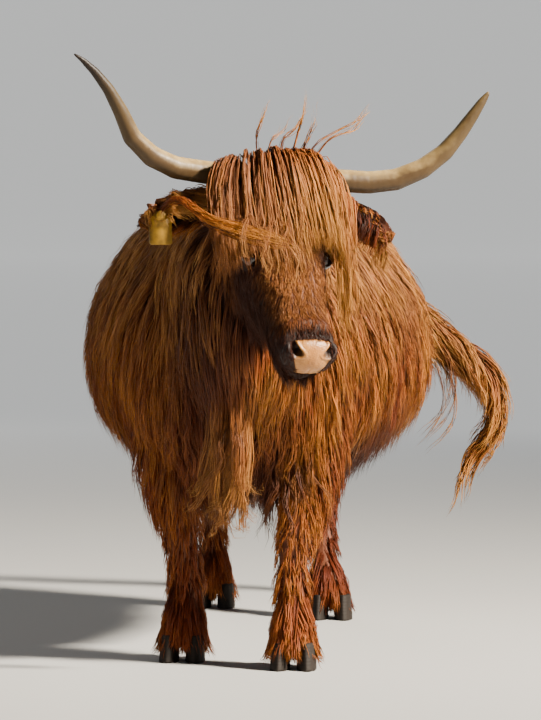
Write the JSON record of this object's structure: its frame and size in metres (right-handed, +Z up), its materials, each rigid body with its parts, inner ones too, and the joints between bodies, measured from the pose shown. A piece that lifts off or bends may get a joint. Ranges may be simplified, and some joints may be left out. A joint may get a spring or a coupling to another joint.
{
  "type": "highland cow",
  "caption": "Life-size standing Highland cow in a long shaggy coat, head turned aside, wide upswept horns, tail swung out.",
  "frame": {"origin": "on the floor, under the middle of the whole model's box", "axes": "+Z up, the nose points along -Y and the tail along +Y, +X to the cow's left"},
  "size_m": [1.1154, 2.2678, 1.482],
  "materials": {
    "coat": "long shaggy hair, red-gold at the tips and dark at the roots",
    "fringe": "long golden locks",
    "nose": "bare moist skin, finely cobbled",
    "horn": "smooth grown horn, ringed at the root, darker to the tip",
    "hoof": "dull ringed horn",
    "eye": "wet, glossy",
    "skin": "soft bare skin",
    "tag": "moulded flexible plastic, bare"
  },
  "bodies": {
    "root": {"trunk": "coat", "neck": "coat", "head": "coat", "muzzle": "nose", "lower_jaw": "coat", "ear_left": "coat", "ear_right": "coat", "forelock": "fringe", "brisket_fringe": "fringe", "tail_root": "coat", "tail_middle": "coat", "tail_switch": "fringe", "udder": "skin", "eye_left": "eye", "eye_right": "eye", "horn_left": "horn", "horn_right": "horn", "ear_tag": "tag", "leg_fore_left": "coat", "hoof_fore_left_outer": "hoof", "dewclaw_fore_left_outer": "hoof", "hoof_fore_left_inner": "hoof", "dewclaw_fore_left_inner": "hoof", "leg_fore_right": "coat", "hoof_fore_right_outer": "hoof", "dewclaw_fore_right_outer": "hoof", "hoof_fore_right_inner": "hoof", "dewclaw_fore_right_inner": "hoof", "leg_hind_left": "coat", "hoof_hind_left_outer": "hoof", "dewclaw_hind_left_outer": "hoof", "hoof_hind_left_inner": "hoof", "dewclaw_hind_left_inner": "hoof", "leg_hind_right": "coat", "hoof_hind_right_outer": "hoof", "dewclaw_hind_right_outer": "hoof", "hoof_hind_right_inner": "hoof", "dewclaw_hind_right_inner": "hoof"}
  },
  "joints": []
}
